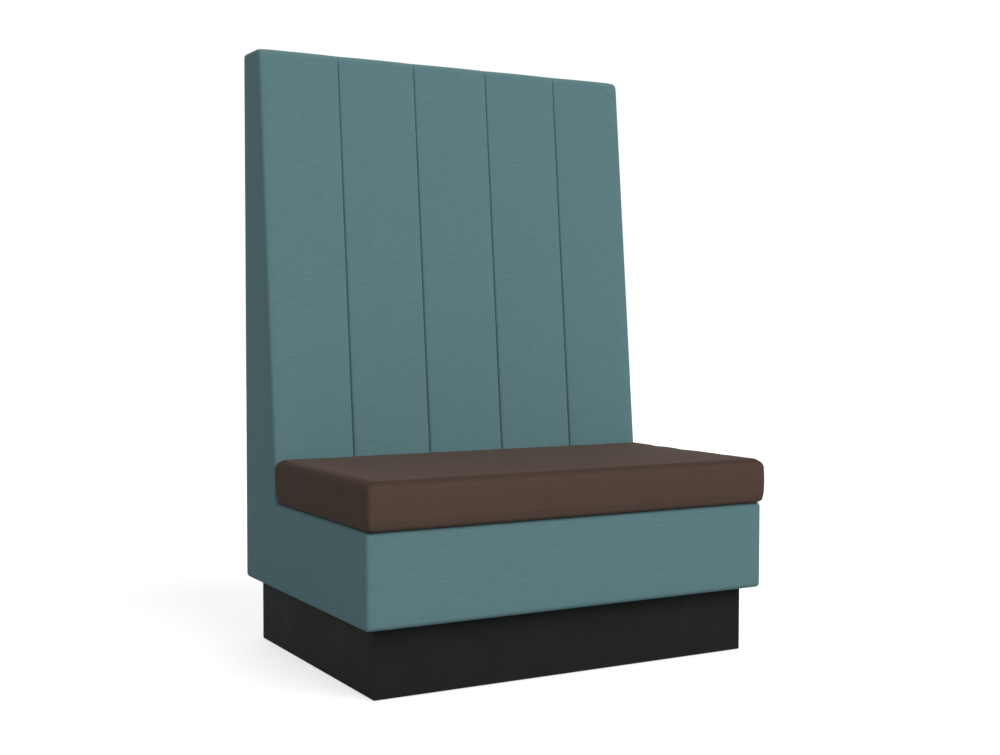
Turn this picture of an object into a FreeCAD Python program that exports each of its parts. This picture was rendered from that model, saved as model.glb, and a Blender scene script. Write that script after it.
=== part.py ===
"""High-backed restaurant booth bench: plinth, upholstered carcass and back, and a lift-out seat cushion.

Millimetres. X runs along the bench, Y from the front to the rear, Z up. The origin is on the floor,
under the middle of the bench.
"""
import FreeCAD, Part
import math
import os

# The whole bench
body_width = 1000.0
body_depth = 710.0
overall_height = 1400.0
base_underside = 150.0
rim_height = 349.0
cushion_height = 101.2
seat_front_overhang = 12.0
seat_side_overhang = 2.5
back_depth_top = 104.0
back_depth_seat = 196.0
panel_count = 5

# Rounded edges of the covered body
side_edge_radius = 10.0
top_edge_extra = 4.0
base_edge_extra = 1.0
inner_corner_radius = 5.0

# Sewn panels of the inside back
panel_crown = 1.5
seam_lip = 4.0
seam_depth = 3.5
panel_trim = 0.5

# Layers from the outside in
cover_cloth = 1.5
side_padding = 5.0
front_padding = 6.0
top_padding = 6.0
rear_wadding = 4.0
back_foam = 30.0
panel_gap = 0.4

# Boards
frame_board = 18.0
front_ply = 9.0
outside_ply = 6.0
rail_width = 20.0
rail_height = 20.0
rear_ledge = 45.0
rib_spacing = 330.0
middle_rail_height = 860.0
middle_rail_depth = 60.0

# Turned edges of the cover and their staples
under_turn = 22.0
rim_turn = 30.0
staple_crown = 10.0
staple_wire = 1.0
staple_leg = 8.0
staple_pitch = 60.0
staple_inset = 14.0

# Plinth
plinth_side_inset = 33.0
plinth_front_inset = 37.0
plinth_rear_inset = 26.0
corner_block = 40.0
glide_radius = 11.0
glide_height = 2.0

# Seat cushion
seat_crown = 1.5
seat_crown_reach = 220.0
seat_bulge = 2.0
seat_top_radius = 18.0
seat_corner_radius = 9.0
seat_lower_radius = 8.0
edge_steps = (0, 30, 60, 90)
crown_shares = (0.12, 0.3, 0.55, 1.0)
seat_cloth = 1.2
seat_rest_gap = 0.3
seat_back_gap = 1.5
seat_ply = 15.0
seat_board_margin = 2.0
seat_turn = 70.0
seat_staple_inset = 60.0
underside_cloth = 0.8
cloth_gap = 1.0
vent_radius = 9.0
vent_pitch_x = 240.0
vent_pitch_y = 200.0

# Battens that locate the cushion inside the rim
batten_thickness = 15.0
batten_height = 20.0
batten_length = 300.0
front_batten_length = 240.0
batten_clearance = 3.0
batten_screw_pitch = 110.0

# Countersunk wood screws
screw_radius = 2.0
screw_head_radius = 4.2
screw_head_height = 2.4
screw_point = 4.0
screw_fit = 0.05
frame_screw_length = 50.0
batten_screw_length = 30.0
screw_end_distance = 28.0

# How far a cutting shape runs past what it cuts
overrun = 20.0

# How far the middle of a quarter turn stands in from its corner, as a share of its radius
eighth_share = 1 - math.sqrt(0.5)

half_width = body_width / 2
seat_bottom = rim_height + seat_rest_gap
seat_height = seat_bottom + cushion_height
rear_y = (body_depth + seat_front_overhang) / 2
front_y = rear_y - body_depth
lean = (back_depth_seat - back_depth_top) / (overall_height - seat_height)
lean_factor = math.sqrt(1 + lean * lean)
panel_pitch = body_width / panel_count
seams = [(k - panel_count / 2) * panel_pitch for k in range(1, panel_count)]

# The outline's own corners are rounder than the edges that run into them
top_edge_radius = side_edge_radius + top_edge_extra
base_edge_radius = side_edge_radius + base_edge_extra

# Faces that several boards share
frame_half = half_width - cover_cloth - side_padding
gable_inner = frame_half - frame_board
board_front = front_y + cover_cloth + front_padding
board_back = board_front + frame_board
ply_rear = rear_y - cover_cloth - rear_wadding
ply_front = ply_rear - outside_ply
base_bottom = base_underside + cover_cloth
floor_top = base_bottom + frame_board
rim_top = rim_height - cover_cloth
frame_top = overall_height - cover_cloth - top_padding
behind_foam = cover_cloth + back_foam
behind_ply = behind_foam + front_ply


def v(x, y, z):
    return FreeCAD.Vector(x, y, z)


def back_y(z, depth=0.0):
    """Where the leaning front of the back, or a plane that lies depth inside it, is at height z."""
    return rear_y - back_depth_top - lean * (overall_height - z) + depth * lean_factor


def box(x0, x1, y0, y1, z0, z1):
    return Part.makeBox(x1 - x0, y1 - y0, z1 - z0, v(x0, y0, z0))


def side_prism(points, x0, x1):
    """A straight-sided outline in Y and Z, as thick as from x0 to x1."""
    corners = [v(x0, y, z) for y, z in points]
    face = Part.Face(Part.makePolygon(corners + corners[:1]))
    return face.extrude(v(x1 - x0, 0, 0))


def leaning_slab(x0, x1, depth0, depth1, z0, z1):
    """A slab that leans as the back does, between two depths inside its front face."""
    lower = [(back_y(z0, depth0), z0), (back_y(z0, depth1), z0)]
    upper = [(back_y(z1, depth1), z1), (back_y(z1, depth0), z1)]
    return side_prism(lower + upper, x0, x1)


def back_filler(x0, x1, z0, z1):
    """Fills the back from its front ply, which leans, to its outside ply, which is upright."""
    lower = [(back_y(z0, behind_ply), z0), (ply_front, z0)]
    upper = [(ply_front, z1), (back_y(z1, behind_ply), z1)]
    return side_prism(lower + upper, x0, x1)


def fused(shapes):
    whole = shapes[0]
    for shape in shapes[1:]:
        whole = whole.fuse(shape)
    return whole


def cut(shape, tools):
    for tool in tools:
        shape = shape.cut(tool)
    return shape


def rounded_outline(points, radii, x):
    """A closed wire in Y and Z through the points, each corner turned by an arc of its radius."""
    edges = []
    ends = []
    count = len(points)
    for k in range(count):
        corner = v(x, *points[k])
        before = v(x, *points[k - 1]) - corner
        after = v(x, *points[(k + 1) % count]) - corner
        before.normalize()
        after.normalize()
        half_angle = before.getAngle(after) / 2
        reach = radii[k] / math.tan(half_angle)
        inward = before + after
        inward.normalize()
        middle = corner + inward * (radii[k] / math.sin(half_angle) - radii[k])
        ends.append((corner + before * reach, middle, corner + after * reach))
    for k in range(count):
        start, middle, end = ends[k]
        edges.append(Part.Arc(start, middle, end).toShape())
        edges.append(Part.LineSegment(end, ends[(k + 1) % count][0]).toShape())
    return Part.Wire(edges)


def body_solid(inset):
    """The covered body with all its edges rounded, or the same form drawn in by inset.

    The front of its back stands proud by a trim that the panels' form then takes off.
    """
    low = base_underside + inset
    high = overall_height - inset
    rim = rim_height - inset
    points = [
        (rear_y - inset, low),
        (rear_y - inset, high),
        (back_y(high, inset) - panel_trim, high),
        (back_y(rim, inset) - panel_trim, rim),
        (front_y + inset, rim),
        (front_y + inset, low),
    ]
    radii = [
        base_edge_radius - inset,
        top_edge_radius - inset,
        top_edge_radius - inset,
        inner_corner_radius + inset,
        base_edge_radius - inset,
        base_edge_radius - inset,
    ]
    width = body_width - inset - inset
    prism = Part.Face(rounded_outline(points, radii, inset - half_width)).extrude(v(width, 0, 0))
    ends = [f for f in prism.Faces if f.BoundBox.XLength < cover_cloth]
    edges = [e for f in ends for e in f.Edges]
    return prism.makeFillet(side_edge_radius - inset, edges)


def seam_cutter(inset):
    """The space in front of the crowned panels and their sunk seams, from the rim to past the top."""
    z0 = rim_height + inner_corner_radius
    rise = overall_height + overrun - z0
    half_panel = panel_pitch / 2 - seam_lip
    crown_radius = (half_panel**2 + panel_crown**2) / (2 * panel_crown)

    def point(x, depth):
        return v(x, back_y(z0, inset) + depth, z0)

    def crown_arc(middle, start, end):
        steps = (start, (start + end) / 2, end)
        depths = [crown_radius - math.sqrt(crown_radius**2 - u * u) for u in steps]
        return Part.Arc(*[point(middle + u, depth) for u, depth in zip(steps, depths)]).toShape()

    def lip(seam, side):
        """One rounded side of a seam: it turns from the panel's edge down to the seam's bottom."""
        edge = point(seam + side * seam_lip, panel_crown)
        bottom = point(seam, panel_crown + seam_depth)
        middle = point(seam + side * seam_lip * eighth_share, panel_crown + seam_depth * eighth_share)
        along = (bottom, middle, edge) if side > 0 else (edge, middle, bottom)
        return Part.Arc(*along).toShape()

    outside = half_width + overrun
    edges = [Part.LineSegment(point(-outside, 0), point(seams[0] - panel_pitch / 2, 0)).toShape()]
    for k, seam in enumerate(seams):
        first = k == 0
        last = k == len(seams) - 1
        middle = seam - panel_pitch / 2
        edges.append(crown_arc(middle, 0 if first else -half_panel, half_panel))
        edges.append(lip(seam, -1))
        edges.append(lip(seam, 1))
        if last:
            edges.append(crown_arc(seam + panel_pitch / 2, -half_panel, 0))
    edges.append(Part.LineSegment(point(seams[-1] + panel_pitch / 2, 0), point(outside, 0)).toShape())
    edges.append(Part.LineSegment(point(outside, 0), point(outside, -overrun)).toShape())
    edges.append(Part.LineSegment(point(outside, -overrun), point(-outside, -overrun)).toShape())
    edges.append(Part.LineSegment(point(-outside, -overrun), point(-outside, 0)).toShape())
    return Part.Face(Part.Wire(edges)).extrude(v(0, lean * rise, rise))


def covered_body(inset):
    return body_solid(inset).cut(seam_cutter(inset))


body_outside = covered_body(0)
body_inside = covered_body(cover_cloth)
parts = {}


# Plinth: a frame of black laminated boards on nylon glides, set back under the base
plinth_left = -half_width + plinth_side_inset
plinth_front = front_y + plinth_front_inset
plinth_rear = rear_y - plinth_rear_inset
inner_left = plinth_left + frame_board
inner_front = plinth_front + frame_board
inner_rear = plinth_rear - frame_board


def plinth_board(x0, x1, y0, y1):
    return box(x0, x1, y0, y1, glide_height, base_bottom)


parts["plinth_front_board"] = plinth_board(plinth_left, -plinth_left, plinth_front, inner_front)
parts["plinth_rear_board"] = plinth_board(plinth_left, -plinth_left, inner_rear, plinth_rear)
parts["plinth_left_board"] = plinth_board(plinth_left, inner_left, inner_front, inner_rear)
parts["plinth_right_board"] = plinth_board(-inner_left, -plinth_left, inner_front, inner_rear)
parts["plinth_cross_rail"] = plinth_board(-frame_board / 2, frame_board / 2, inner_front, inner_rear)
block_xs = (inner_left, -inner_left - corner_block)
block_ys = (inner_front, inner_rear - corner_block)
block_starts = [(x, y) for x in block_xs for y in block_ys]
blocks = [plinth_board(x, x + corner_block, y, y + corner_block) for x, y in block_starts]
block_middles = [(x + corner_block / 2, y + corner_block / 2) for x, y in block_starts]
rail_ends = [(0, inner_front + corner_block / 2), (0, inner_rear - corner_block / 2)]
parts["plinth_glides"] = Part.makeCompound(
    [Part.makeCylinder(glide_radius, glide_height, v(x, y, 0)) for x, y in block_middles + rail_ends]
)


# Screws: each has a cone head flush with the board's face, and its hole is the same form with a fit
def screw(place, direction, length, fit=0.0):
    axis = v(*direction)
    head = Part.makeCone(screw_head_radius + fit, screw_radius + fit, screw_head_height, place, axis)
    shank = Part.makeCylinder(screw_radius + fit, length - screw_point, place, axis)
    tip = Part.makeCone(screw_radius + fit, 0, screw_point, place + axis * (length - screw_point), axis)
    return head.fuse(shank).fuse(tip).removeSplitter()


def screws_and_holes(places, direction, length):
    screws = [screw(place, direction, length) for place in places]
    holes = [screw(place, direction, length, screw_fit) for place in places]
    return screws, holes


def pierced(shape, holes):
    return cut(shape, [hole for hole in holes if hole.BoundBox.intersect(shape.BoundBox)])


plinth_places = [v(x, y, floor_top) for x, y in block_middles]
plinth_screws, plinth_holes = screws_and_holes(plinth_places, (0, 0, -1), frame_screw_length)
parts["plinth_corner_blocks"] = Part.makeCompound([pierced(block, plinth_holes) for block in blocks])
parts["plinth_screws"] = Part.makeCompound(plinth_screws)


# Carcass: a base board, two L-shaped gables, a front board and a deck that carries the foot of the back
base_board = box(-frame_half, frame_half, board_back, ply_front, base_bottom, floor_top)
gable_points = [
    (board_back, floor_top),
    (ply_front, floor_top),
    (ply_front, frame_top),
    (back_y(frame_top, behind_ply), frame_top),
    (back_y(rim_top, behind_ply), rim_top),
    (board_back, rim_top),
]
left_gable = side_prism(gable_points, -frame_half, -gable_inner)
right_gable = side_prism(gable_points, gable_inner, frame_half)
front_board = box(-frame_half, frame_half, board_front, board_back, base_bottom, rim_top)
deck_front = back_y(rim_height) - rear_ledge
rail_bottom = rim_top - rail_height
front_rail = box(-gable_inner, gable_inner, board_back, board_back + rail_width, rail_bottom, rim_top)
rear_deck = box(-gable_inner, gable_inner, deck_front, ply_front, rim_top - frame_board, rim_top)
rail_front = board_back + rail_width
left_rail = box(-gable_inner, rail_width - gable_inner, rail_front, deck_front, rail_bottom, rim_top)
right_rail = left_rail.mirror(v(0, 0, 0), v(1, 0, 0))
divider_blank = box(-frame_board / 2, frame_board / 2, board_back, ply_front, floor_top, rim_top)
divider = cut(divider_blank, [front_rail, rear_deck])

# Back: a leaning front ply on the gables' edges, an upright outside ply, two rails and two wedge ribs
back_front_ply = leaning_slab(-frame_half, frame_half, behind_foam, behind_ply, rim_top, frame_top)
outside_back_ply = box(-frame_half, frame_half, ply_front, ply_rear, base_bottom, frame_top)
top_rail = back_filler(-gable_inner, gable_inner, frame_top - frame_board, frame_top)
middle_rail = leaning_slab(
    -gable_inner,
    gable_inner,
    behind_ply,
    behind_ply + middle_rail_depth,
    middle_rail_height,
    middle_rail_height + frame_board,
)
rib_middles = [-rib_spacing / 2, rib_spacing / 2]
rib_top = frame_top - frame_board
ribs = [
    back_filler(x - frame_board / 2, x + frame_board / 2, rim_top, rib_top).cut(middle_rail)
    for x in rib_middles
]

# Screws through the front board into the gables and the divider, and through the gables into the rails
screw_heights = (floor_top + screw_end_distance, rail_bottom - screw_end_distance)
gable_middle = (frame_half + gable_inner) / 2
front_places = [v(x, board_front, z) for x in (-gable_middle, 0, gable_middle) for z in screw_heights]
front_screws, front_holes = screws_and_holes(front_places, (0, 1, 0), frame_screw_length)
rail_rows = [
    (rim_top - frame_board / 2, deck_front + screw_end_distance, ply_front - screw_end_distance),
    (
        frame_top - frame_board / 2,
        back_y(frame_top, behind_ply) + frame_board / 2,
        ply_front - frame_board / 2,
    ),
    (
        middle_rail_height + frame_board / 2,
        back_y(middle_rail_height, behind_ply) + frame_board,
        back_y(middle_rail_height, behind_ply) + middle_rail_depth - frame_board,
    ),
]
left_places = [v(-frame_half, y, z) for z, y0, y1 in rail_rows for y in (y0, y1)]
right_places = [v(frame_half, place.y, place.z) for place in left_places]
left_screws, left_holes = screws_and_holes(left_places, (1, 0, 0), frame_screw_length)
right_screws, right_holes = screws_and_holes(right_places, (-1, 0, 0), frame_screw_length)

parts["base_board"] = pierced(base_board, plinth_holes)
parts["left_gable"] = pierced(left_gable, front_holes + left_holes)
parts["right_gable"] = pierced(right_gable, front_holes + right_holes)
parts["base_front_board"] = pierced(front_board, front_holes)
parts["front_seat_rail"] = front_rail
parts["left_seat_rail"] = left_rail
parts["right_seat_rail"] = right_rail
parts["rear_deck_board"] = pierced(rear_deck, left_holes + right_holes)
parts["centre_divider"] = pierced(divider, front_holes)
parts["back_front_ply"] = back_front_ply
parts["outside_back_ply"] = outside_back_ply
parts["back_top_rail"] = pierced(top_rail, left_holes + right_holes)
parts["back_middle_rail"] = pierced(middle_rail, left_holes + right_holes)
parts["left_back_rib"], parts["right_back_rib"] = ribs
parts["front_board_screws"] = Part.makeCompound(front_screws)
parts["gable_screws"] = Part.makeCompound(left_screws + right_screws)
framed = [
    "base_board",
    "left_gable",
    "right_gable",
    "base_front_board",
    "outside_back_ply",
    "back_front_ply",
]
for name in framed:
    # The boards' outer edges are eased where the cover turns round them
    parts[name] = parts[name].common(body_inside)

# Padding: foam panels in front of the leaning ply, and thin pads under the other covers
panel_ends = [-frame_half] + seams + [frame_half]
for k in range(panel_count):
    left = panel_ends[k] + (panel_gap / 2 if k > 0 else 0)
    right = panel_ends[k + 1] - (panel_gap / 2 if k < panel_count - 1 else 0)
    slab = leaning_slab(left, right, -overrun, behind_foam, rim_top, overall_height)
    parts[f"back_foam_{k + 1}"] = slab.common(body_inside)


def lining(x0, x1, y0, y1, z0, z1):
    """The part of the inside of the cover within a box."""
    return box(x0, x1, y0, y1, z0, z1).common(body_inside)


far_y = rear_y + overrun
far_z = overall_height + overrun
near_y = front_y - overrun
near_z = base_underside - overrun
far_x = half_width + overrun
parts["left_side_pad"] = lining(-far_x, -frame_half, near_y, far_y, near_z, far_z)
parts["right_side_pad"] = lining(frame_half, far_x, near_y, far_y, near_z, far_z)
parts["base_front_pad"] = lining(-frame_half, frame_half, near_y, board_front, near_z, rim_height)
behind_panels = leaning_slab(-frame_half, frame_half, behind_foam, body_depth, frame_top, far_z)
parts["back_top_pad"] = behind_panels.common(body_inside)
parts["outside_back_wadding"] = lining(-frame_half, frame_half, ply_rear, far_y, near_z, frame_top)

# Covers: one skin round the body, parted along its side edges, the rear of its top and its turned edges
skin = body_outside.cut(body_inside)
side_line = half_width - side_edge_radius
rear_top_line = overall_height - top_edge_radius
skin_band = 2 * cover_cloth
rim_back = back_y(rim_height) - rim_turn
under_low = base_underside - cover_cloth
under_high = base_underside + skin_band
rim_low = rim_height - skin_band
rim_high = rim_height + cover_cloth


def side_zones(side):
    """Where the cloth of one side lies: its face, and the edges turned over the rim and under the base."""
    zones = [
        (side_line, far_x, near_y, far_y, near_z, far_z),
        (half_width - rim_turn, side_line, front_y + rim_turn, rim_back, rim_low, rim_high),
        (
            half_width - under_turn,
            side_line,
            front_y + under_turn,
            rear_y - under_turn,
            under_low,
            under_high,
        ),
    ]
    right = fused([box(*zone) for zone in zones])
    return right if side > 0 else right.mirror(v(0, 0, 0), v(1, 0, 0))


front_zones = fused(
    [
        box(-side_line, side_line, near_y, front_y + under_turn, near_z, rim_high),
        box(-side_line, side_line, front_y + under_turn, front_y + rim_turn, rim_low, rim_high),
    ]
)
inside_zones = fused(
    [
        leaning_slab(-side_line, side_line, -overrun, skin_band, rim_low, far_z),
        box(-side_line, side_line, near_y, far_y, rear_top_line, far_z),
        box(-side_line, side_line, rim_back, back_y(rim_height), rim_low, rim_high),
    ]
)
outside_zones = fused(
    [
        box(-side_line, side_line, rear_y - skin_band, far_y, near_z, rear_top_line),
        box(-side_line, side_line, rear_y - under_turn, far_y, under_low, under_high),
        box(
            -side_line,
            side_line,
            rear_y - base_edge_radius,
            far_y,
            under_low,
            base_underside + base_edge_radius,
        ),
    ]
)
parts["left_side_cover"] = skin.common(side_zones(-1))
parts["right_side_cover"] = skin.common(side_zones(1))
parts["base_front_cover"] = skin.common(front_zones)
parts["inside_back_cover"] = skin.common(inside_zones)
parts["outside_back_cover"] = skin.common(outside_zones)


# Staples hold the cloth's edges under the base: a crown flat on the cloth and two legs into the wood
def staple(x, y, surface, along_x):
    half_crown = staple_crown / 2
    half_wire = staple_wire / 2
    reach = (half_crown, half_wire) if along_x else (half_wire, half_crown)
    crown = box(x - reach[0], x + reach[0], y - reach[1], y + reach[1], surface - staple_wire, surface)
    shift = half_crown - half_wire
    legs = [
        box(
            x + side * (shift if along_x else 0) - half_wire,
            x + side * (shift if along_x else 0) + half_wire,
            y + side * (0 if along_x else shift) - half_wire,
            y + side * (0 if along_x else shift) + half_wire,
            surface - staple_wire,
            surface + staple_leg,
        )
        for side in (-1, 1)
    ]
    return fused([crown] + legs).removeSplitter()


def spaced(start, end, pitch):
    """Evenly spaced places between two ends, about a pitch apart, or none where there is no room."""
    if end <= start:
        return []
    count = max(1, round((end - start) / pitch))
    return [start + (k + 1 / 2) * (end - start) / count for k in range(count)]


staples = []
for x in spaced(-side_line + under_turn, side_line - under_turn, staple_pitch):
    staples.append(staple(x, front_y + staple_inset, base_underside, True))
    staples.append(staple(x, rear_y - staple_inset, base_underside, True))
for y in spaced(front_y + under_turn, rear_y - under_turn, staple_pitch):
    staples.append(staple(-half_width + staple_inset, y, base_underside, False))
    staples.append(staple(half_width - staple_inset, y, base_underside, False))
parts["cover_staples"] = Part.makeCompound(staples)


# Seat cushion: a board, foam and a sewn cover, crowned on top and full along its walls
seat_half = half_width + seat_side_overhang
seat_front = front_y - seat_front_overhang


def seat_section(inset, z):
    """One level of the cushion's form: a rectangle with round corners, at height z."""
    half = seat_half - inset
    y0 = seat_front + inset
    y1 = back_y(min(z, seat_height - seat_crown)) - seat_back_gap - inset
    r = seat_corner_radius
    k = r * eighth_share

    def point(x, y):
        return v(x, y, z)

    turns = [
        (point(half - r, y0), point(half - k, y0 + k), point(half, y0 + r)),
        (point(half, y1 - r), point(half - k, y1 - k), point(half - r, y1)),
        (point(r - half, y1), point(k - half, y1 - k), point(-half, y1 - r)),
        (point(-half, y0 + r), point(k - half, y0 + k), point(r - half, y0)),
    ]
    edges = []
    for k_turn, turn in enumerate(turns):
        edges.append(Part.LineSegment(turns[k_turn - 1][2], turn[0]).toShape())
        edges.append(Part.Arc(*turn).toShape())
    return Part.Wire(edges)


def seat_form(inset):
    """The cushion's outside, or the same form drawn in by inset: round edges, full walls, a crowned top."""
    low = seat_bottom + inset
    shoulder = seat_height - seat_crown - inset
    low_radius = seat_lower_radius - inset
    top_radius = seat_top_radius - inset
    middle = (low + shoulder) / 2
    rows = []
    for degrees in edge_steps:
        turn = math.radians(degrees)
        rows.append((low + low_radius * (1 - math.cos(turn)), low_radius * (1 - math.sin(turn))))
    rows.append((middle, 0))
    for degrees in edge_steps:
        turn = math.radians(degrees)
        rows.append((shoulder - top_radius * (1 - math.sin(turn)), top_radius * (1 - math.cos(turn))))
    for share in crown_shares:
        rise = seat_crown * (1 - (1 - share) ** 2)
        rows.append((shoulder + rise, top_radius + share * seat_crown_reach))
    sections = []
    for z, drawn_in in rows:
        level = min(z, shoulder)
        fullness = (level - middle) / (shoulder - middle)
        sections.append(seat_section(inset + drawn_in + seat_bulge * fullness**2, z))
    return Part.makeLoft(sections, True, True)


seat_outside = seat_form(0)
seat_inside = seat_form(seat_cloth)
board_low = seat_bottom + seat_cloth
board_high = board_low + seat_ply
round_corner = seat_lower_radius + seat_corner_radius * eighth_share
edge_margin = seat_cloth + seat_bulge + round_corner + seat_board_margin
board_half = seat_half - edge_margin
board_y0 = seat_front + edge_margin
board_y1 = back_y(board_low) - seat_back_gap - edge_margin
board_blank = box(-board_half, board_half, board_y0, board_y1, board_low, board_high)
board_pocket = box(-board_half, board_half, board_y0, board_y1, board_low - overrun, board_high)
opening_half = seat_half - seat_turn
opening_y0 = seat_front + seat_turn
opening_y1 = back_y(board_low) - seat_back_gap - seat_turn
seat_opening = box(
    -opening_half, opening_half, opening_y0, opening_y1, seat_bottom - overrun, board_low
)

# Battens under the cushion's edges drop inside the rim and keep the cushion from sliding
batten_side = gable_inner - rail_width - batten_clearance
batten_front = board_back + rail_width + batten_clearance
batten_y = (opening_y0 + opening_y1) / 2 - batten_length / 2
batten_low = seat_bottom - batten_height
left_batten = box(
    -batten_side, batten_thickness - batten_side, batten_y, batten_y + batten_length, batten_low, seat_bottom
)
right_batten = left_batten.mirror(v(0, 0, 0), v(1, 0, 0))
front_middle = opening_half / 2
front_battens = [
    box(
        side * front_middle - front_batten_length / 2,
        side * front_middle + front_batten_length / 2,
        batten_front,
        batten_front + batten_thickness,
        batten_low,
        seat_bottom,
    )
    for side in (-1, 1)
]
side_middle = batten_side - batten_thickness / 2
batten_places = [
    v(side * side_middle, batten_y + batten_length / 2 + end * batten_screw_pitch, batten_low)
    for side in (-1, 1)
    for end in (-1, 0, 1)
]
batten_places += [
    v(side * front_middle + end * batten_screw_pitch / 2, batten_front + batten_thickness / 2, batten_low)
    for side in (-1, 1)
    for end in (-1, 1)
]
batten_screws, batten_holes = screws_and_holes(batten_places, (0, 0, 1), batten_screw_length)

vents = [
    Part.makeCylinder(vent_radius, seat_ply + 2 * overrun, v(x, y, board_low - overrun))
    for x in (-vent_pitch_x, 0, vent_pitch_x)
    for y in (
        (board_y0 + board_y1 - vent_pitch_y) / 2,
        (board_y0 + board_y1 + vent_pitch_y) / 2,
    )
]
cloth_sheet = box(
    -opening_half + cloth_gap,
    opening_half - cloth_gap,
    opening_y0 + cloth_gap,
    opening_y1 - cloth_gap,
    board_low - underside_cloth,
    board_low,
)
parts["seat_board"] = pierced(cut(board_blank, vents), batten_holes)
parts["seat_foam"] = seat_inside.cut(board_pocket)
parts["seat_cover"] = pierced(seat_outside.cut(seat_inside).cut(seat_opening), batten_holes)
parts["seat_underside_cloth"] = cloth_sheet
parts["seat_locating_battens"] = Part.makeCompound(
    [pierced(batten, batten_holes) for batten in [left_batten, right_batten] + front_battens]
)
parts["batten_screws"] = Part.makeCompound(batten_screws)
seat_staples = []
for x in spaced(-opening_half, opening_half, staple_pitch):
    if abs(abs(x) - front_middle) > front_batten_length / 2 + staple_crown:
        seat_staples.append(staple(x, seat_front + seat_staple_inset, seat_bottom, True))
    seat_staples.append(staple(x, opening_y1 + seat_turn - seat_staple_inset, seat_bottom, True))
for y in spaced(opening_y0, batten_y - staple_crown, staple_pitch):
    seat_staples.append(staple(-seat_half + seat_staple_inset, y, seat_bottom, False))
    seat_staples.append(staple(seat_half - seat_staple_inset, y, seat_bottom, False))
parts["seat_staples"] = Part.makeCompound(seat_staples)

os.makedirs("parts", exist_ok=True)
for name, shape in parts.items():
    shape.exportStep(f"parts/{name}.step")
    print(name, len(shape.Solids), "solids,", round(shape.Volume / 1000), "cm3, valid", shape.isValid())
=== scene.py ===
import bmesh
import bpy
import math
from collections import namedtuple
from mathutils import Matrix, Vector, geometry, noise


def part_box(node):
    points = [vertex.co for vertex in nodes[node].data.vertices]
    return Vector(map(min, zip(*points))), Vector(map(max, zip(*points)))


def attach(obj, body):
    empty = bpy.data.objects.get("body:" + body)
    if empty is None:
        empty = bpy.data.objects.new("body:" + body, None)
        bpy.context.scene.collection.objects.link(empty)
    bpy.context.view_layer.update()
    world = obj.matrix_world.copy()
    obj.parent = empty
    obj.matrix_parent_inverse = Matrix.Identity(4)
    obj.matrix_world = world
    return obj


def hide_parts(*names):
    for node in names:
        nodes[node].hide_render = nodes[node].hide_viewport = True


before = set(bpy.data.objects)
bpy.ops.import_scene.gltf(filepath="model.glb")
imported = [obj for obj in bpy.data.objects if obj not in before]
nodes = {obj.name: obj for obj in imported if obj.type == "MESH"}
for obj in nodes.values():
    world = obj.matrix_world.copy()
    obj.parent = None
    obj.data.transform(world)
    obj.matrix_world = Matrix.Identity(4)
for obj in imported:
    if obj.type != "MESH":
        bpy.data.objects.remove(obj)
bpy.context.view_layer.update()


# Plinth boards: four lengths of 18 mm board, faced and edged in matt black laminate, butted and glued
# into a frame that is set back under the base. Their sharp edges are eased with a file.
class Signal:
    """An output in a tree of nodes. Sums of signals and numbers add the nodes that they need."""

    def __init__(self, tree, output=None):
        self.tree = tree
        self.output = output

    def node(self, kind, settings=(), values=(), output=0):
        """Adds a node, its settings first and then the values or links of its sockets."""
        made = self.tree.nodes.new(kind)
        for name, value in dict(settings).items():
            setattr(made, name, value)
        for key, value in dict(values).items():
            if isinstance(value, Signal):
                self.tree.links.new(value.output, made.inputs[key])
            else:
                made.inputs[key].default_value = value
        return Signal(self.tree, made.outputs[output])

    def maths(self, operation, *values):
        return self.node("ShaderNodeMath", {"operation": operation}, enumerate((self, *values)))

    def __add__(self, other):
        return self.maths("ADD", other)

    def __sub__(self, other):
        return self.maths("SUBTRACT", other)

    def __rsub__(self, other):
        return (self * -1) + other

    def __mul__(self, other):
        return self.maths("MULTIPLY", other)

    __radd__ = __add__
    __rmul__ = __mul__

    def wave(self, pitch):
        """Rises and falls between -1 and 1 once in each pitch."""
        return (self * (math.tau / pitch)).maths("SINE")

    def ramp(self, low, high):
        """Goes smoothly from 0 at low to 1 at high."""
        values = {"Value": self, "From Min": low, "From Max": high}
        return self.node("ShaderNodeMapRange", {"interpolation_type": "SMOOTHSTEP"}, values)

    def noise(self, scale, detail=2.0):
        """Cloudy noise between 0 and 1 at this place, with one scale or one for each axis."""
        stretch = scale if isinstance(scale, tuple) else (scale, scale, scale)
        place = self.node("ShaderNodeMapping", values={"Vector": self, "Scale": stretch})
        values = {"Vector": place, "Scale": 1.0, "Detail": detail}
        return self.node("ShaderNodeTexNoise", values=values)

    def axis(self, index):
        return self.node("ShaderNodeSeparateXYZ", values={0: self}, output=index)

    def colour(self, first, second):
        """A colour that goes from first to second as this signal goes from 0 to 1."""
        values = {0: self, 6: first, 7: second}
        return self.node("ShaderNodeMix", {"data_type": "RGBA"}, values, output=2)

    def bump(self, height):
        return self.node("ShaderNodeBump", values={"Height": self, "Distance": height})


def rgb(red, green, blue):
    """A colour for the shader, from the 0 to 255 levels that it shows on a screen."""
    levels = [level / 255 for level in (red, green, blue)]
    return (*[x / 12.92 if x < 0.04 else ((x + 0.055) / 1.055) ** 2.4 for x in levels], 1.0)


def made_material(name, paint, numbers=()):
    """A material whose changing sockets come from paint and whose other sockets are plain numbers."""
    material = bpy.data.materials.new(name)
    material.use_nodes = True
    tree = material.node_tree
    shader = tree.nodes["Principled BSDF"]
    for socket, value in dict(numbers).items():
        shader.inputs[socket].default_value = value
    for socket, signal in paint(Signal(tree)).items():
        tree.links.new(signal.output, shader.inputs[socket])
    return material


def object_place(signal):
    return signal.node("ShaderNodeTexCoord", output="Object")


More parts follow.
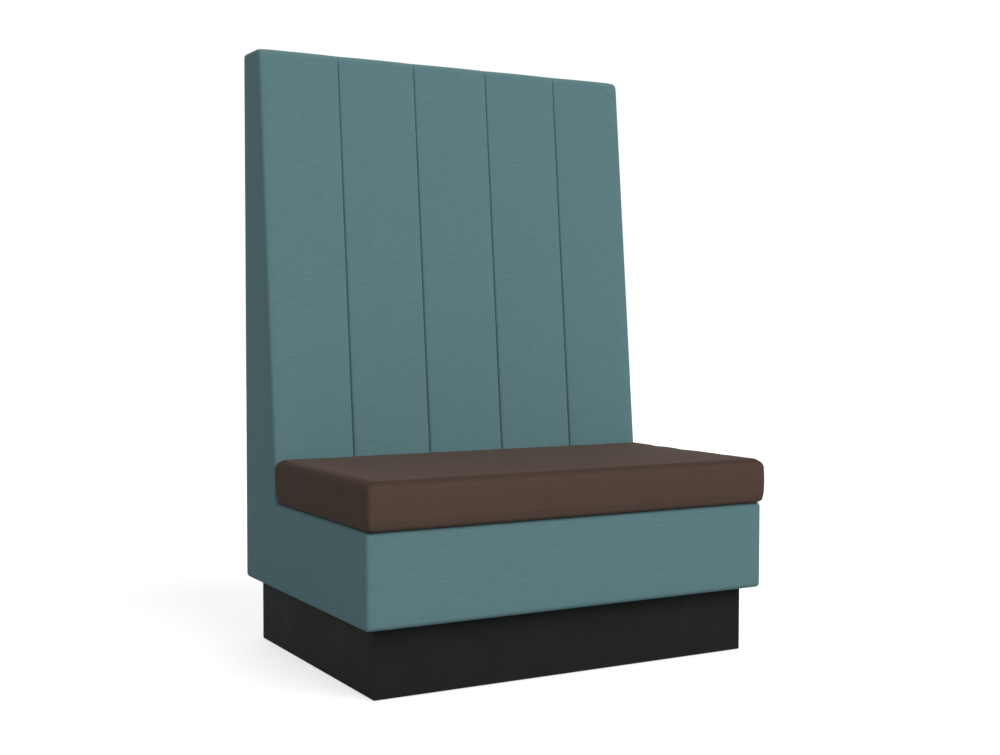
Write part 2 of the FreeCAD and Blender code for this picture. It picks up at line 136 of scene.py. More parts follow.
def laminate_paint(signal):
    place = object_place(signal)
    stipple = place.noise(1100, 1)
    rubbed = place.noise(14, 4).ramp(0.42, 0.8)
    return {
        "Base Color": rubbed.colour(rgb(35, 37, 36), rgb(38, 40, 39)),
        "Roughness": 0.5 + stipple * 0.1 - rubbed * 0.06,
        "Normal": stipple.bump(0.00006),
    }


black_laminate = made_material("black laminate", laminate_paint, {"Specular IOR Level": 0.015})
weld = 0.00001
filed_edge = 0.0008
shortest_arris = 0.012
flat_turn = 0.01
sharp_turn = 1.0


def welded(name):
    """A node's loose triangles, joined at their corners."""
    bm = bmesh.new()
    bm.from_mesh(nodes[name].data)
    bmesh.ops.remove_doubles(bm, verts=bm.verts, dist=weld)
    return bm


def finished(bm, name, material):
    """The mesh of what was worked on."""
    mesh = bpy.data.meshes.new(name)
    bm.to_mesh(mesh)
    bm.free()
    mesh.materials.append(material)
    return mesh


def in_scene(name, data):
    """A new object in the scene."""
    thing = bpy.data.objects.new(name, data)
    bpy.context.scene.collection.objects.link(thing)
    return thing


def placed(mesh, slot, body, *replaced):
    """Puts a finished mesh in the scene as a piece that rides on a body and stands for some nodes."""
    piece = in_scene(mesh.name, mesh)
    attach(piece, body)
    if replaced:
        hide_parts(*replaced)
    return piece


def eased_board(name, material, slot, body, ease=filed_edge):
    """A copy of a board with its long edges eased, which stands in the plain board's place."""
    bm = welded(name)
    bmesh.ops.dissolve_limit(bm, angle_limit=flat_turn, verts=bm.verts, edges=bm.edges)
    arrises = [
        edge
        for edge in bm.edges
        if edge.is_manifold and edge.calc_length() > shortest_arris and edge.calc_face_angle() > sharp_turn
    ]
    bmesh.ops.bevel(bm, geom=arrises, offset=ease, segments=2, profile=0.5, affect="EDGES")
    placed(finished(bm, name + "_eased", material), slot, body, name)


for place in ("front", "rear", "left", "right"):
    eased_board(f"plinth_{place}_board", black_laminate, "black_laminate", "carcass")


# Plinth blocks and glides: square softwood blocks are glued into the frame's corners, and white nylon
# glides are tapped in under them so that the boards stay clear of a wet floor.
year_ring = 0.0065
ring_wander = 0.012
planed_edge = 0.0015


def grained(along, across_grain, with_grain):
    """Noise scales for the three axes, with its own number along the grain."""
    return tuple(with_grain if axis == along else across_grain for axis in range(3))


def softwood(name, along):
    """Planed pine with its grain along one axis: early and late wood, and a few darker flecks."""

    def paint(signal):
        place = object_place(signal)
        wander = place.noise(grained(along, 55.0, 2.5), 3)
        across = place.axis((along + 1) % 3) + place.axis((along + 2) % 3) * 0.6 + wander * ring_wander
        rings = across.wave(year_ring).ramp(-0.6, 1.0)
        fibre = place.noise(grained(along, 900.0, 30.0), 2)
        wood = rings.colour(rgb(222, 190, 146), rgb(196, 152, 103))
        return {
            "Base Color": (fibre * 0.35).colour(wood, rgb(168, 126, 84)),
            "Roughness": 0.62 + rings * 0.1,
            "Normal": (rings * 0.4 + fibre).bump(0.00012),
        }

    return made_material(name, paint, {"Specular IOR Level": 0.3})


softwood_upright = softwood("softwood upright", 2)
eased_board("plinth_corner_blocks", softwood_upright, "softwood", "carcass", planed_edge)


def nylon_paint(signal):
    scuffs = object_place(signal).noise(300, 3)
    tone = scuffs.colour(rgb(224, 224, 219), rgb(208, 208, 202))
    return {"Base Color": tone, "Roughness": 0.35 + scuffs * 0.2}


white_nylon = made_material("white nylon", nylon_paint)
turned_sides = 32
turned_edge = 40


def smoothed(mesh, sharp=None):
    """Shades a mesh smooth, apart from edges that turn by more than the sharp angle in degrees."""
    mesh.polygons.foreach_set("use_smooth", [True] * len(mesh.polygons))
    if sharp:
        mesh.set_sharp_from_angle(angle=math.radians(sharp))
    return mesh


def lathed(name, profile, material, dished=None):
    """A turned mesh about Z from (radius, height) points; dished lowers its points by place."""
    bm = bmesh.new()
    rings = []
    for radius, height in profile:
        turns = [math.tau * k / turned_sides for k in range(turned_sides if radius else 1)]
        rings.append([bm.verts.new((radius * math.cos(a), radius * math.sin(a), height)) for a in turns])
    for lower, upper in zip(rings, rings[1:]):
        for k in range(turned_sides):
            corners = [lower[k % len(lower)], lower[(k + 1) % len(lower)]]
            corners += [upper[(k + 1) % len(upper)], upper[k % len(upper)]]
            bm.faces.new(list(dict.fromkeys(corners)))
    for vert in bm.verts if dished else ():
        vert.co.z -= dished(vert.co)
    bmesh.ops.recalc_face_normals(bm, faces=bm.faces)
    return smoothed(finished(bm, name, material), turned_edge)


def solids_of(name):
    """The lowest and highest corner and the points of each separate solid in a node."""
    bm = welded(name)
    left = set(bm.verts)
    found = []
    while left:
        group = [left.pop()]
        for vert in group:
            fresh = {edge.other_vert(vert) for edge in vert.link_edges} & left
            left -= fresh
            group.extend(fresh)
        low, high = (Vector([pick(v.co[k] for v in group) for k in range(3)]) for pick in (min, max))
        found.append((low, high, [vert.co.copy() for vert in group]))
    bm.free()
    return sorted(found, key=lambda solid: tuple(solid[0]))


def drawn(name, points, faces=(), material=None, edges=()):
    """A mesh of these points and what joins them."""
    mesh = bpy.data.meshes.new(name)
    mesh.from_pydata(points, edges, faces)
    if material:
        mesh.materials.append(material)
    return mesh


def evaluated_mesh(piece, name):
    """The plain mesh that an object's modifiers make."""
    bpy.context.view_layer.update()
    evaluated = piece.evaluated_get(bpy.context.evaluated_depsgraph_get())
    mesh = bpy.data.meshes.new_from_object(evaluated)
    mesh.name = name
    return mesh


def repeated(name, base, inputs, spread, material):
    """Copies that Geometry Nodes set out on a base mesh, as one plain mesh.

    The inputs are named sizes or objects. Spread takes their signals, and gives what the node that sets
    out the copies needs.
    """
    tree = bpy.data.node_groups.new(name, "GeometryNodeTree")
    sockets = {"Base": "Geometry"}
    sockets |= {title: "Float" if isinstance(value, float) else "Object" for title, value in inputs.items()}
    for title, kind in sockets.items():
        tree.interface.new_socket(title, in_out="INPUT", socket_type="NodeSocket" + kind)
    tree.interface.new_socket("Geometry", in_out="OUTPUT", socket_type="NodeSocketGeometry")
    source = tree.nodes.new("NodeGroupInput")
    given = {title: Signal(tree, source.outputs[title]) for title in sockets}
    copies = Signal(tree).node("GeometryNodeInstanceOnPoints", values=spread(given))
    real = copies.node("GeometryNodeRealizeInstances", values={"Geometry": copies})
    painted = real.node("GeometryNodeSetMaterial", values={"Geometry": real, "Material": material})
    tree.links.new(painted.output, tree.nodes.new("NodeGroupOutput").inputs["Geometry"])
    carrier = in_scene(name + "_base", base)
    modifier = carrier.modifiers.new(name, "NODES")
    modifier.node_group = tree
    for socket in tree.interface.items_tree:
        if socket.name in inputs:
            modifier[socket.identifier] = inputs[socket.name]
    mesh = evaluated_mesh(carrier, name)
    bpy.data.objects.remove(carrier)
    return mesh


def at_places(given):
    """The copied piece, turned at each point to the direction that it faces."""
    piece = {"Object": given["Copied Piece"]}
    copied = given["Base"].node("GeometryNodeObjectInfo", values=piece, output="Geometry")
    settings = {"data_type": "FLOAT_VECTOR"}
    facing = copied.node("GeometryNodeInputNamedAttribute", settings, {"Name": "facing"}, "Attribute")
    turn = facing.node("FunctionNodeAlignEulerToVector", {"axis": "Z"}, {"Vector": facing})
    return {"Points": given["Base"], "Instance": copied, "Rotation": turn}


def joined_copies(name, mesh, places, *finish):
    """Copies of one small mesh at each (place, direction of its Z), joined as one placed piece."""
    points = drawn(name + "_points", [place for place, _ in places])
    facing = points.attributes.new("facing", "FLOAT_VECTOR", "POINT")
    facing.data.foreach_set("vector", [value for _, direction in places for value in direction])
    inputs = {"Copied Piece": bpy.data.objects.new(name + "_sample", mesh)}
    placed(repeated(name, points, inputs, at_places, mesh.materials[0]), *finish)


glide_low, glide_high, _ = solids_of("plinth_glides")[0]
glide_radius = (glide_high.x - glide_low.x) / 2
glide_height = glide_high.z - glide_low.z
glide_round = 0.0008
glide_profile = [
    (0, 0),
    (glide_radius - 2 * glide_round, 0),
    (glide_radius - glide_round, glide_round / 3),
    (glide_radius, glide_round),
    (glide_radius, glide_height),
    (0, glide_height),
]
glide = lathed("glide", glide_profile, white_nylon)
glide_places = [
    (((low.x + high.x) / 2, (low.y + high.y) / 2, low.z), (0, 0, 1))
    for low, high, _ in solids_of("plinth_glides")
]
joined_copies("nylon_glides", glide, glide_places, "nylon", "carcass", "plinth_glides")


# Screws: zinc plated countersunk wood screws with a cross recess. Long ones pass through the boards of
# the carcass, and shorter ones through the seat's battens; each head is drawn flush with the wood.
def zinc_paint(signal):
    bloom = object_place(signal).noise(160, 3)
    tone = bloom.colour(rgb(172, 174, 178), rgb(206, 207, 208))
    return {"Base Color": tone, "Roughness": 0.26 + bloom * 0.2}


zinc_steel = made_material("zinc plated steel", zinc_paint, {"Metallic": 1.0})
screw_head = 0.0042
screw_head_height = 0.0024
screw_head_rings = 9
screw_shank = 0.002
screw_point = 0.004
threaded_share = 0.6
thread_pitch = 0.0028
thread_depth = 0.0005
recess_arm = 0.0022
recess_width = 0.00055
recess_depth = 0.0013


def cross_recess(place):
    """How far the driver's cross lies below the top of a screw's head, as a drop against its Z."""
    if place.z != 0:
        return 0
    x, y = abs(place.x), abs(place.y)
    arm = min(max(x, y * recess_arm / recess_width), max(y, x * recess_arm / recess_width))
    return -recess_depth * max(0, min(1, 2 - 2 * arm / recess_arm))


def screw_mesh(name, length):
    """A screw along Z with its head's flat top at zero."""
    core = screw_shank - thread_depth
    profile = [(screw_head * k / screw_head_rings, 0) for k in range(screw_head_rings + 1)]
    profile.append((screw_shank, screw_head_height))
    turns = int((length - screw_point) * threaded_share / thread_pitch)
    start = length - screw_point - turns * thread_pitch
    for turn in range(turns):
        root = start + turn * thread_pitch
        profile += [(core, root), (core, root + thread_pitch / 2)]
        profile.append((screw_shank, root + thread_pitch * 3 / 4))
    profile += [(core, length - screw_point), (0, length)]
    return lathed(name, profile, zinc_steel, cross_recess)


def screw_places(name):
    """Where the head of each screw in a node lies, and which way the screw points."""
    places = []
    for low, high, points in solids_of(name):
        along = max(range(3), key=lambda k: high[k] - low[k])
        across = (along + 1) % 3
        middle = (low + high) / 2
        wide = max(points, key=lambda point: abs(point[across] - middle[across]))
        head = middle.copy()
        head[along] = wide[along]
        direction = Vector()
        direction[along] = 1 if wide[along] < middle[along] else -1
        places.append((head, direction))
    return places


def screws(name, body):
    low, high, _ = solids_of(name)[0]
    mesh = screw_mesh(name + "_sample_mesh", max(high - low))
    joined_copies(name + "_threaded", mesh, screw_places(name), "zinc_steel", body, name)


for name in ("plinth_screws", "front_board_screws", "gable_screws"):
    screws(name, "carcass")


# Carcass: birch plywood boards screwed and glued into a box with an open top, two L-shaped gables that
# carry the back, a divider in the middle, and softwood rails round the rim.
ply_pair = 0.0029


def plywood(name, through, along):
    """Birch ply: its faces are veneer with the grain along one axis, and its edges show the plies."""

    def paint(signal):
        place = object_place(signal)
        figure = place.noise(grained(along, 11.0, 1.1), 2)
        fibre = place.noise(grained(along, 700.0, 14.0), 2)
        bands = (figure * 7).wave(1.0).ramp(-1.2, 1.2)
        veneer = (bands * 0.5 + fibre * 0.5).colour(rgb(226, 204, 168), rgb(203, 173, 130))
        plies = place.axis(through).wave(ply_pair).ramp(-0.3, 0.3)
        edge_tone = (plies * 0.8 + fibre * 0.2).colour(rgb(212, 180, 136), rgb(142, 103, 67))
        normal = signal.node("ShaderNodeNewGeometry", output="Normal")
        face = normal.axis(through).maths("ABSOLUTE").ramp(0.6, 0.8)
        return {
            "Base Color": face.colour(edge_tone, veneer),
            "Roughness": 0.58 + fibre * 0.12,
            "Normal": (fibre + plies * (1 - face)).bump(0.0001),
        }

    return made_material(name, paint, {"Specular IOR Level": 0.3})


plies = (
    plywood("plywood facing sideways", 0, 2),
    plywood("plywood facing forwards", 1, 0),
    plywood("plywood facing up", 2, 0),
)
pines = (softwood("softwood across", 0), softwood("softwood front to rear", 1), softwood_upright)
carcass_boards = (
    "plinth_cross_rail",
    "base_board",
    "left_gable",
    "right_gable",
    "base_front_board",
    "rear_deck_board",
    "centre_divider",
    "back_front_ply",
    "outside_back_ply",
    "back_top_rail",
    "back_middle_rail",
    "left_back_rib",
    "right_back_rib",
)


def board_axis(name, pick):
    """The number of the axis along a board's longest or shortest side."""
    sizes = list(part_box(name)[1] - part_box(name)[0])
    return sizes.index(pick(sizes))


def ply_board(name, body):
    """Veneer faces look along a board's thinnest side."""
    eased_board(name, plies[board_axis(name, min)], "plywood", body)


for name in carcass_boards:
    ply_board(name, "carcass")
for name in ("front_seat_rail", "left_seat_rail", "right_seat_rail"):
    eased_board(name, pines[board_axis(name, max)], "softwood", "carcass", planed_edge)


# Padding: a shaped foam panel between each pair of seams on the inside back, and layers of polyester
# wadding glued over the other boards' faces and edges and down the outside back.
side_low, side_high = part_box("right_side_cover")
half_width = side_high.x
front_y = side_low.y
rear_y = side_high.y
base_z = side_low.z
top_z = side_high.z
rim_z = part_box("base_front_cover")[1].z
back_depth_top = 0.104
lean = 0.092 / 0.9495
end_radius = 0.010
top_radius = 0.014
base_radius = 0.011
inner_radius = 0.005
cloth = 0.0015
side_pad = 0.005
front_pad = 0.006
rear_wadding = 0.004
back_foam = 0.030
snug = 0.0001
under_turn = 0.022
rim_turn = 0.030
side_x = half_width - end_radius
panel_pitch = 0.2
seam_places = (-0.3, -0.1, 0.1, 0.3)
panel_crown = 0.0015
seam_lip = 0.0068
seam_depth = 0.0066
seam_growth = 0.4
seam_flattening = 0.75
seam_flat_start = 0.014
seam_flat_reach = 0.022
seam_end = 0.012
pull_depth = 0.0006
pull_reach = 0.012
parting_depth = 0.0004
rear_parting_depth = 0.0011
parting_reach = 0.02
parting_lip = 0.0016
softness = 0.00035
soft_reach = 0.03
corner_sink = 0.0022
corner_reach = 0.012
rear_squareness = 6


def back_y(z):
    """Where the leaning front of the back is at height z."""
    return rear_y - back_depth_top - lean * (top_z - z)


def eased(value):
    """Goes smoothly from 0 to 1, and stays there."""
    value = max(0, min(1, value))
    return value * value * (3 - 2 * value)


def stations(marks, step):
    """Places from the first mark to the last, on every mark and no further apart than step."""
    places = [marks[0]]
    for start, end in zip(marks, marks[1:]):
        count = max(1, math.ceil((end - start) / step - 0.001))
        places += [start + (end - start) * k / count for k in range(1, count + 1)]
    return places


Row = namedtuple("Row", "y z out_y out_z run part push")
rim_back = back_y(rim_z) - rim_turn
outline = [
    ("front", (front_y, base_z), base_radius, 0.02, ()),
    ("rim", (front_y, rim_z), base_radius, 0.03, (front_y + rim_turn, rim_back)),
    ("inside", (back_y(rim_z), rim_z), inner_radius, 0.008, ()),
    ("top", (back_y(top_z), top_z), top_radius, 0.012, ()),
    ("rear", (rear_y, top_z), top_radius, 0.025, ()),
    ("under", (rear_y, base_z), base_radius, 0.03, (rear_y - under_turn, front_y + under_turn)),
]


def outline_rows(arc_steps=7):
    """Points round the side outline: from the hem under the front up, over, down the rear and under.

    Each has its outward direction, and a push that far out makes the soft corner at the top of the
    rear a sharper one, where the cloth is pulled straight over the edge of the wood.
    """
    corners = [Vector(item[1]) for item in outline]
    headings = [(corners[(k + 1) % 6] - corners[k]).normalized() for k in range(6)]
    places = []
    for k, (part, _, radius, step, marks) in enumerate(outline):
        into, away = headings[k - 1], headings[k]
        turn = into.angle(away)
        hollow = into.x * away.y - into.y * away.x > 0
        outward = [Vector((-heading.y, heading.x)) for heading in (into, away)]
        start = corners[k] - into * radius * math.tan(turn / 2)
        end = corners[k] + away * radius * math.tan(turn / 2)
        signed = -radius if hollow else radius
        centre = start - outward[0] * signed
        for i in range(arc_steps):
            share = i / arc_steps
            first, second = math.sin((1 - share) * turn), math.sin(share * turn)
            out = (outward[0] * first + outward[1] * second) / math.sin(turn)
            push = 0
            if part == "rear":
                sum_of_powers = first**rear_squareness + second**rear_squareness
                push = radius * (sum_of_powers ** (-1 / rear_squareness) - 1)
            places.append((centre + out * signed, out, part + " arc", push))
        following = headings[(k + 1) % 6]
        next_reach = outline[(k + 1) % 6][2] * math.tan(away.angle(following) / 2)
        length = (corners[(k + 1) % 6] - away * next_reach - end).length
        stops = [abs(mark - end.x) for mark in marks]
        for distance in stations([0, *stops, length], step)[:-1]:
            places.append((end + away * distance, outward[1], part, 0))
    hem = front_y + under_turn
    first = next(k for k, p in enumerate(places) if p[2] == "under" and abs(p[0].x - hem) < weld)
    places = places[first:] + places[:first]
    rows = []
    run = 0
    for k, (place, out, part, push) in enumerate(places):
        run += (place - places[k - 1][0]).length if k else 0
        rows.append(Row(place.x, place.y, out.x, out.y, run, part, push))
    return rows


rows = outline_rows()


def row_at(part, y=None):
    """The number of a part's first row, or of its row at this depth."""
    return next(
        k for k, row in enumerate(rows) if row.part == part and (y is None or abs(row.y - y) < weld)
    )


front_end = row_at("rim", front_y + rim_turn)
inside_start = row_at("rim", rim_back)
lean_start = row_at("inside arc")
lean_end = row_at("top arc")
rear_start = row_at("rear")
rear_end = row_at("under", rear_y - under_turn)
foam_rear = back_y(top_z) + back_foam
foam_end = next(k for k, row in enumerate(rows) if row.part == "top" and row.y > foam_rear)
corner_run = (rows[lean_end].run + rows[row_at("top")].run) / 2


def off_row(row, x, out):
    """The point at x that lies this far out from a row of the outline."""
    return Vector((x, row.y + row.out_y * out, row.z + row.out_z * out))


def flat_point(row, x, drop):
    """A point of the cloth's face between its rounded ends, or one that lies drop under it."""
    return off_row(row, x, row.push - drop)


def corner_drop(row, x):
    """How far the cloth sinks where it is pulled over the two soft corners at the top of the front."""
    along = (row.run - corner_run) / corner_reach
    across = max(0, side_x - abs(x)) / corner_reach
    return corner_sink * math.exp(-along * along - across * across)


def panel_drop(row, x):
    """How far the cloth of the inside back lies under the flat face: its crown, seams and softness."""
    past_top = row.run - rows[lean_end].run
    to_rear = rows[rear_start].run - row.run
    above_rim = row.run - rows[lean_start].run
    shown = eased((above_rim - inner_radius) / soft_reach)
    crowned = shown * (1 - eased(past_top / soft_reach))
    flattened = seam_flattening * eased((past_top + seam_flat_start) / seam_flat_reach)
    sewn = shown * (1 - flattened) * eased(to_rear / seam_end)
    from_seam = min(abs(x - seam) for seam in seam_places)
    from_middle = 0 if abs(x) > 2 * panel_pitch else panel_pitch / 2 - from_seam
    half_panel = panel_pitch / 2 - seam_lip
    upper = max(0, min(1, above_rim / (rows[lean_end].run - rows[lean_start].run)))
    grown = 1 - seam_growth * upper * upper
    lip = seam_lip * grown
    crown = panel_crown * min(1, from_middle / half_panel) ** 2
    ends = eased((side_x - abs(x)) / soft_reach)
    soft = noise.noise(Vector((x * 9, row.run * 5, 3.0))) * softness * ends
    tuck = 0
    if from_seam < lip:
        tuck = seam_depth * grown * (1 - math.sqrt(1 - (1 - from_seam / lip) ** 2))
    gather = noise.noise(Vector((x * 20, row.run * 38, 8.0)))
    pull = gather * pull_depth * math.exp(-from_seam / pull_reach)
    fullness = crown * crowned + (tuck + pull) * sewn + (soft + softness * ends) * shown
    return fullness + corner_drop(row, x)


def parting(row):
    """How deep the groove is between two covers: hardly there in front, plainer down the rear."""
    at_rear = row.part in ("rear", "rear arc", "under arc")
    deeper_share = eased((row.run - rows[rear_start].run) / parting_reach) * at_rear
    return parting_depth + (rear_parting_depth - parting_depth) * deeper_share


def parting_drop(row, x):
    """The fine groove where two covers meet along the ends of the booth."""
    return parting(row) * (1 - eased((side_x - abs(x)) / parting_lip))


def inside_drop(row, x):
    return panel_drop(row, x) + parting_drop(row, x)


def deeper(drop, by):
    """The same form as a cover's face, further in."""
    return lambda row, x: drop(row, x) + by


def grid_faces(height, width):
    """The faces of a grid of points, row after row."""
    return [
        (i * width + j, i * width + j + 1, (i + 1) * width + j + 1, (i + 1) * width + j)
        for i in range(height - 1)
        for j in range(width - 1)
    ]


def walled(faces, count):
    """These faces, the same turned over on points that are count further on, and walls between them."""
    sides = {(face[k - 1], face[k]) for face in faces for k in range(len(face))}
    walls = [(b, a, a + count, b + count) for a, b in sides if (b, a) not in sides]
    return faces + [tuple(k + count for k in face[::-1]) for face in faces] + sorted(walls)


sewn_edge = 48


def shell(name, faces, outer, inner, lay, *finish):
    """A closed pad or cover between two faces that share their mesh; lay gives its place as flat cloth."""
    material, slot, replaced = finish
    count = len(outer)
    mesh = drawn(name, outer + inner, walled(faces, count), material)
    flat = mesh.uv_layers.new(name="flat cloth")
    flat.data.foreach_set("uv", [c for loop in mesh.loops for c in lay[loop.vertex_index % count]])
    smoothed(mesh, sewn_edge).update()
    placed(mesh, slot, "carcass", replaced)


def band(name, used, xs, over, under, *finish):
    """A cover or pad over some rows and columns, between two depths under the cloth's face."""
    outer, inner = ([flat_point(row, x, drop(row, x)) for row in used for x in xs] for drop in (over, under))
    lay = [(x, row.run) for row in used for x in xs]
    shell(name, grid_faces(len(used), len(xs)), outer, inner, lay, *finish)


side_crown = 0.0009
side_crown_reach = 0.025
cap_step = 0.02
cap_margin = 0.006
hem_step = 0.007
turn_steps = 8


def end_point(row, turn, drop):
    """A point on the rounded end of the cloth, a turn round from its face towards the side."""
    radius = end_radius - drop
    out = (radius + row.push) * math.cos(turn) - end_radius
    return off_row(row, side_x + radius * math.sin(turn), out)


def from_ring(spot, ring):
    """How far a point of the side is from its rounded edge."""
    distances = []
    for k, corner in enumerate(ring):
        foot, share = geometry.intersect_point_line(spot, ring[k - 1], corner)
        distances.append((spot - (foot if 0 <= share <= 1 else corner)).length)
    return min(distances)


def on_side(y, z):
    """Whether a point lies inside the rounded edges of the flat side."""
    front = front_y if z < rim_z - end_radius else back_y(z)
    return front + end_radius < y < rear_y - end_radius and base_z + end_radius < z < top_z - end_radius


def side_cap():
    """The flat side inside its rounded edges: the edge ring, the points within it and the faces."""
    ring = [Vector((row.y - row.out_y * end_radius, row.z - row.out_z * end_radius)) for row in rows]
    edges = [(k, (k + 1) % len(ring)) for k in range(len(ring))]
    depths = stations([front_y, rear_y], cap_step)
    heights = stations([base_z, top_z], cap_step)
    inner = [Vector((y, z)) for y in depths for z in heights if on_side(y, z)]
    inner = [spot for spot in inner if from_ring(spot, ring) > cap_margin]
    points, _, faces, origins, _, _ = geometry.delaunay_2d_cdt(ring + inner, edges, [], 1, weld)
    turned = []
    for face in faces:
        a, b, c = (points[k] for k in face)
        corners = tuple(origins[k][0] for k in face)
        turned.append(corners if (b - a).cross(c - a) > 0 else corners[::-1])
    return ring, inner, turned


cap_ring, cap_inner, cap_faces = side_cap()
cap_fullness = [
    side_crown * (1 - math.exp(-from_ring(spot, cap_ring) / side_crown_reach)) for spot in cap_inner
]
side_turns = [math.pi / 2 * step / turn_steps for step in range(turn_steps + 1)]
hem_strips = [(front_end, inside_start, rim_turn), (rear_end, len(rows), under_turn)]
hems = [
    ([k % len(rows) for k in range(start, end + 1)], stations([0, width - end_radius], hem_step))
    for start, end, width in hem_strips
]
hem_rows = {k for used, _ in hems for k in used}


def laid(row, spread):
    """Where cloth this far round from a row lies when it is spread flat."""
    return row.y + row.out_y * spread, row.z + row.out_z * spread


def side_net(side, depth, hemmed):
    """Points round one end at a depth under the cloth, and where they lie on the flat cloth.

    The round edge comes first, then the flat side and the hems.
    """
    points = []
    lay = []
    for turn in side_turns:
        for k, row in enumerate(rows):
            groove = parting(row) if turn == 0 and k not in hem_rows else 0
            sunk = corner_drop(row, side_x) * math.cos(turn)
            points.append(end_point(row, turn, depth + groove + sunk))
            lay.append(laid(row, end_radius * (math.pi / 2 - turn - 1)))
    for spot, full in zip(cap_inner, cap_fullness):
        points.append(Vector((half_width - depth + full, spot.x, spot.y)))
        lay.append((spot.x, spot.y))
    for used, distances in hems if hemmed else ():
        for distance in distances[1:]:
            points += [flat_point(rows[k], side_x - distance, depth) for k in used]
            lay += [laid(rows[k], distance + end_radius * (math.pi / 2 - 1)) for k in used]
    for point in points:
        point.x *= side
    return points, lay


def side_faces(side, hemmed):
    """The faces between the same points."""
    count = len(rows)
    last = turn_steps * count
    faces = []
    for a in range(last):
        b = a // count * count + (a + 1) % count
        faces.append((a, a + count, b + count, b))
    faces += [tuple(last + k for k in face) for face in cap_faces]
    start = last + count + len(cap_inner)
    for used, distances in hems if hemmed else ():
        before = used
        for _ in distances[1:]:
            after = range(start, start + len(used))
            start += len(used)
            for i in range(len(used) - 1):
                faces.append((after[i], before[i], before[i + 1], after[i + 1]))
            before = after
    return faces if side > 0 else [face[::-1] for face in faces]


def side_piece(name, side, over, under, hemmed, *finish):
    """A cover or pad round one end of the booth, between two depths, with or without its turned hems."""
    outer, lay = side_net(side, over, hemmed)
    inner, _ = side_net(side, under, hemmed)
    shell(name, side_faces(side, hemmed), outer, inner, lay, *finish)


def foam_paint(signal):
    """Cut polyurethane foam: open cells of two sizes and a slightly yellowed face."""
    place = object_place(signal)
    cells = place.node("ShaderNodeTexVoronoi", values={"Vector": place, "Scale": 900.0})
    aged = place.noise(9, 3)
    tone = aged.colour(rgb(236, 226, 196), rgb(222, 205, 162))
    return {
        "Base Color": (cells * 0.25).colour(tone, rgb(178, 160, 118)),
        "Roughness": 0.9 + cells * 0.08,
        "Normal": (cells * -1).bump(0.0005),
    }


def wadding_paint(signal):
    """White polyester wadding: a tangle of fine fibres, thicker and thinner from place to place."""
    place = object_place(signal)
    fibres = place.noise(480, 6)
    clouds = place.noise(24, 3)
    tone = (fibres * 0.5 + clouds * 0.5).ramp(0.3, 0.7).colour(rgb(214, 214, 210), rgb(240, 240, 237))
    return {"Base Color": tone, "Roughness": 0.88 + fibres * 0.1, "Normal": (fibres + clouds).bump(0.0008)}


upholstery_foam = made_material("upholstery foam", foam_paint, {"Specular IOR Level": 0.1})
wadding = made_material("polyester wadding", wadding_paint, {"Specular IOR Level": 0.1})

column_step = 0.014
plain_step = 0.03
parting_marks = [-side_x, parting_lip - side_x, side_x - parting_lip, side_x]
lip_shares = (0.0, 0.04, 0.14, 0.3, 0.52, 0.76, 1.0, 1.8)
seam_marks = [
    seam + side * share * seam_lip
    for seam in seam_places
    for share in lip_shares
    for side in ((-1, 1) if share else (1,))
]
panel_columns = stations(sorted(parting_marks + seam_marks), column_step)
plain_columns = stations(parting_marks, plain_step)


def foam_panel(node, left, right):
    """One panel of the back: its front has the cover's form, and its rear lies flat on the ply."""
    used = rows[lean_start : foam_end + 1]
    start, end = left + snug, right - snug
    xs = [start, *[x for x in panel_columns if start < x < end], end]
    outer = [flat_point(row, x, panel_drop(row, x) + cloth + snug) for row in used for x in xs]
    low = rim_z - cloth
    rear = (back_foam + cloth - snug) * math.hypot(1, lean)
    inner = []
    for k in range(len(used)):
        z = low + (top_z - cloth - low) * k / (len(used) - 1)
        inner += [Vector((x, back_y(z) + rear, z)) for x in xs]
    lay = [(x, row.run) for row in used for x in xs]
    faces = grid_faces(len(used), len(xs))
    shell(node + "_cut", faces, outer, inner, lay, upholstery_foam, "upholstery_foam", node)


panel_edges = [-side_x, *seam_places, side_x]
for number, (left, right) in enumerate(zip(panel_edges, panel_edges[1:]), start=1):
    foam_panel(f"back_foam_{number}", left, right)

pad_rows = {
    "back_top_pad": (rows[foam_end : rear_start + 1], front_pad),
    "base_front_pad": (rows[row_at("front arc") : row_at("rim") + 1], front_pad),
    "outside_back_wadding": (rows[rear_start : row_at("under arc") + 1], rear_wadding),
}
pad_face = cloth + snug
for name, (used, thickness) in pad_rows.items():
    depths = [deeper(parting_drop, depth) for depth in (pad_face, cloth + thickness - snug)]
    band(name + "_layer", used, plain_columns, *depths, wadding, "wadding", name)
end_sides = {"left_side": -1, "right_side": 1}
for word, side in end_sides.items():
    name = word + "_pad"
    side_piece(name + "_layer", side, pad_face, cloth + side_pad - snug, False, wadding, "wadding", name)


# Covers: teal woven cloth in five pieces. The inside back is five upright panels, plain sewn to each
# other so that each seam sinks into the foam; its ends are sewn to the side pieces, which are carried
# round the rounded ends, turned over the rim, and turned and stapled under the base.
warp_pitch = 0.0021
weft_pitch = 0.0017


